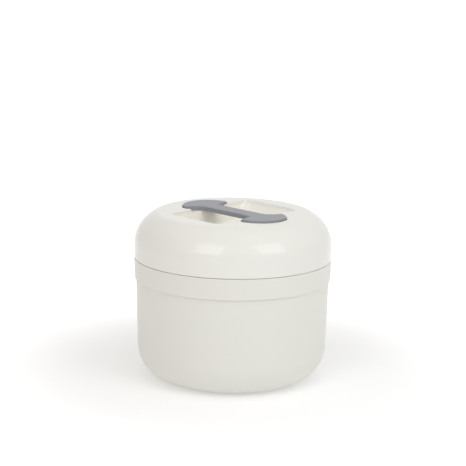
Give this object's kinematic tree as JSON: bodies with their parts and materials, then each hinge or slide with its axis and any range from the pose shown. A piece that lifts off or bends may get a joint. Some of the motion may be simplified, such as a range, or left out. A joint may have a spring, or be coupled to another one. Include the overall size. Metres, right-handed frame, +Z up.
{
  "type": "insulated casserole",
  "caption": "Round insulated food casserole in cream plastic with a steel bowl, a twist-lock lift-off lid and a grey handle across a finger recess.",
  "frame": {"origin": "on the floor, at the middle of the foot ring", "axes": "+Z up through the lid and handle; the pictured front faces -Y; +X is the viewer's right"},
  "size_m": [0.2406, 0.2406, 0.2054],
  "materials": {
    "lid_plastic": "gloss",
    "body_plastic": "satin",
    "handle_plastic": "satin",
    "liner_plastic": "satin",
    "plug_plastic": "matte",
    "stainless_steel": "satin",
    "seal_silicone": "matte",
    "foot_rubber": "matte",
    "insulating_foam": "matte",
    "zinc_screws": "satin"
  },
  "bodies": {
    "base": {"body_shell": "body_plastic", "base_plate": "body_plastic", "base_screws": "zinc_screws", "foot_ring": "foot_rubber", "body_foam_plug": "plug_plastic", "collar_ring": "body_plastic", "steel_bowl": "stainless_steel", "bowl_rim_seal": "seal_silicone", "bowl_clamp_ring": "stainless_steel", "body_foam": "insulating_foam"},
    "gasket": {"lid_gasket": "seal_silicone"},
    "lid": {"lid_cover": "lid_plastic", "lid_lock_ring": "body_plastic", "lid_liner": "liner_plastic", "lid_foam": "insulating_foam", "lid_foam_plug": "plug_plastic", "handle_cap": "handle_plastic", "handle_core": "handle_plastic", "handle_washers": "zinc_screws", "handle_screws": "zinc_screws"}
  },
  "joints": [
    {"name": "lid_lift", "type": "slide", "parent": "base", "child": "gasket", "axis": [0, 0, 1], "range_m": [0, 0.12]},
    {"name": "lid_turn", "type": "hinge", "parent": "gasket", "child": "lid", "pos_m": [0, 0, 0.148], "axis": [0, 0, -1], "range_deg": [0, 30]}
  ]
}
